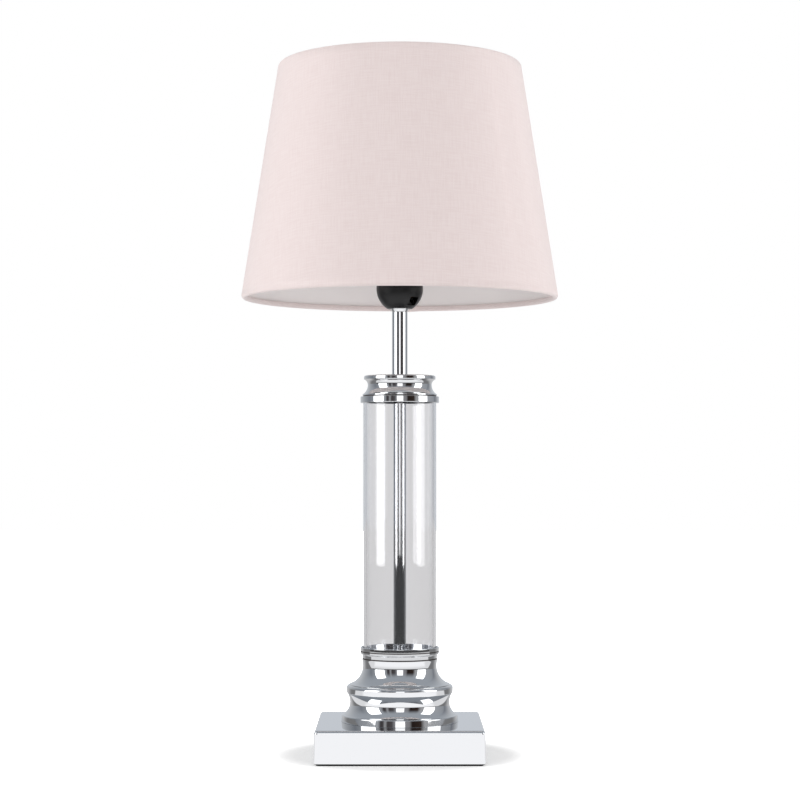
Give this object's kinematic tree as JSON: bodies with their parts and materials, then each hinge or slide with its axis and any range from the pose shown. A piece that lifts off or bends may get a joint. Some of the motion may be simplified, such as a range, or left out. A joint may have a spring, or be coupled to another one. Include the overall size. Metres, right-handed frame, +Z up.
{
  "type": "candlestick lamp",
  "caption": "Table lamp with a square chromed foot, turned pedestal, clear glass column with a central rod, turned cap and a tapered fabric drum shade on a screw-cap lampholder.",
  "frame": {"origin": "on the table, at the middle of the foot's underside, on the column's axis", "axes": "+Z up along the column; the lamp faces -Y and its cable inlet is at +Y"},
  "size_m": [0.2498, 0.2498, 0.5444],
  "materials": {
    "chrome": "bright chrome plate, polished",
    "felt": "black felt",
    "iron": "as cast",
    "zinc_steel": "zinc plated",
    "grommet_rubber": "moulded",
    "clear_gasket": "translucent silicone",
    "glass": "clear, drawn tube",
    "holder_plastic": "black moulded thermoset, semi gloss",
    "porcelain": "white, unglazed",
    "brass": "turned",
    "bronze": "spring bronze strip",
    "nickel_shell": "pressed",
    "wire_white": "white powder coat",
    "shade_fabric": "plain woven slub cloth, dusty pink",
    "shade_liner": "white laminate"
  },
  "bodies": {
    "stand": {"felt_pad": "felt", "base_plate": "chrome", "base_weight": "iron", "base_washer": "zinc_steel", "lock_washer": "zinc_steel", "base_nut": "zinc_steel", "cable_grommet": "grommet_rubber", "lower_pedestal": "chrome", "upper_pedestal": "chrome", "lower_gasket": "clear_gasket", "glass_tube": "glass", "upper_gasket": "clear_gasket", "tie_rod": "chrome", "cap": "chrome", "stem_sleeve": "chrome", "neck_washer": "chrome", "holder_dome": "holder_plastic", "entry_bush": "zinc_steel", "lock_screw": "zinc_steel", "terminal_block": "porcelain", "terminals": "brass", "terminal_screws": "brass", "side_contact": "bronze", "screw_shell": "nickel_shell", "holder_barrel": "holder_plastic"},
    "shade_ring": {"shade_ring": "holder_plastic"},
    "shade": {"shade_carrier": "wire_white", "upper_wire": "wire_white", "lower_wire": "wire_white", "shade_fabric": "shade_fabric", "shade_liner": "shade_liner"},
    "contact": {"centre_contact": "bronze"}
  },
  "joints": [
    {"name": "shade_lift", "type": "slide", "parent": "stand", "child": "shade_ring", "axis": [0, 0, 1], "range_m": [0, 0.065]},
    {"name": "shade_turn", "type": "hinge", "parent": "shade_ring", "child": "shade", "pos_m": [0, 0, 0.3869], "axis": [0, 0, 1], "continuous": true},
    {"name": "contact_press", "type": "slide", "parent": "stand", "child": "contact", "axis": [0, 0, 1], "range_m": [-0.0015, 0], "stiffness_N_per_m": 1500}
  ]
}
